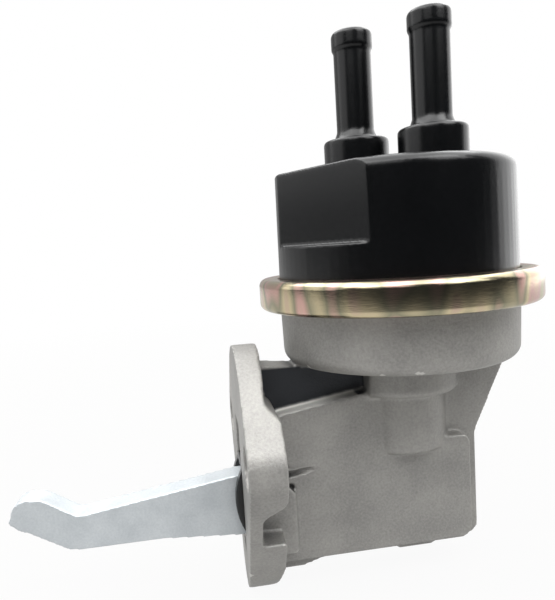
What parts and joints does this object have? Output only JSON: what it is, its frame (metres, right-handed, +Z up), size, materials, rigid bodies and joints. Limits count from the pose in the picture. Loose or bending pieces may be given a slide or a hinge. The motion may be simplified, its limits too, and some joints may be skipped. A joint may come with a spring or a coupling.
{
  "type": "mechanical fuel pump",
  "caption": "Crimped diaphragm fuel pump with a flange-mounted cast body, a hooked cam lever and two upright hose nipples on a black cover.",
  "frame": {"origin": "midway between the two bolt holes, on the flange's mating face", "axes": "+X from the mating face through the pump, +Z up along the pump's axis towards the nipples, Y along the bolt line"},
  "size_m": [0.122, 0.064, 0.1262],
  "materials": {
    "cast_aluminium": "as die-cast, fine grain",
    "yellow_zinc": "yellow passivated zinc",
    "black_plastic": "moulded, satin",
    "white_acetal": "moulded",
    "black_rubber": "moulded",
    "strainer_nylon": "woven gauze on a moulded cup",
    "valve_rubber": "moulded, smooth",
    "brass": "turned",
    "spring_steel": "drawn wire, oiled",
    "diaphragm_cloth": "rubber on woven cloth",
    "zinc_steel": "pressed, bright zinc",
    "bronze": "sintered",
    "hardened_steel": "ground",
    "lever_steel": "case hardened, matt grey",
    "black_nylon": "moulded, glossy"
  },
  "bodies": {
    "root": {"lower_body": "cast_aluminium", "crimp_ring": "yellow_zinc", "top_cover": "black_plastic", "valve_plate": "white_acetal", "plate_gasket": "black_rubber", "inlet_strainer": "strainer_nylon", "inlet_valve_stem": "brass", "inlet_valve_spring": "spring_steel", "outlet_valve_stem": "brass", "outlet_valve_spring": "spring_steel", "diaphragm": "diaphragm_cloth", "rod_guide": "bronze", "oil_seal": "black_rubber", "seal_retainer": "zinc_steel", "pivot_pin": "hardened_steel", "pin_plug": "cast_aluminium", "lever_guide": "black_nylon", "main_spring": "spring_steel", "return_spring": "spring_steel"},
    "lever": {"rocker_lever": "lever_steel", "lever_bush": "bronze"},
    "link": {"link_arm": "lever_steel"},
    "diaphragm_rod": {"pull_rod": "zinc_steel", "upper_plate": "zinc_steel", "lower_plate": "zinc_steel"},
    "inlet_valve": {"inlet_valve_disc": "valve_rubber"},
    "outlet_valve": {"outlet_valve_disc": "valve_rubber"}
  },
  "joints": [
    {"name": "lever_swing", "type": "hinge", "parent": "root", "child": "lever", "pos_m": [0.0073, 0, -0.015], "axis": [0, 1, 0], "range_deg": [0, 9], "stiffness_Nm_per_rad": 0.5, "springref_deg": -17.19, "deforming": ["return_spring"]},
    {"name": "link_swing", "type": "hinge", "parent": "root", "child": "link", "pos_m": [0.0073, 0, -0.015], "axis": [0, 1, 0], "range_deg": [0, 9]},
    {"name": "diaphragm_stroke", "type": "slide", "parent": "root", "child": "diaphragm_rod", "axis": [0, 0, 1], "range_m": [-0.0051, 0], "deforming": ["main_spring", "diaphragm"]},
    {"name": "inlet_valve_lift", "type": "slide", "parent": "root", "child": "inlet_valve", "axis": [0, 0, -1], "range_m": [0, 0.0006], "stiffness_N_per_m": 40, "springref_m": -0.002, "deforming": ["inlet_valve_spring"]},
    {"name": "outlet_valve_lift", "type": "slide", "parent": "root", "child": "outlet_valve", "axis": [0, 0, 1], "range_m": [0, 0.001], "stiffness_N_per_m": 40, "springref_m": -0.002, "deforming": ["outlet_valve_spring"]}
  ],
  "couplings": [
    {"joint": "link_swing", "follows": "lever_swing", "ratio": 1},
    {"joint": "diaphragm_stroke", "follows": "lever_swing", "m_per_rad": -0.0322}
  ]
}
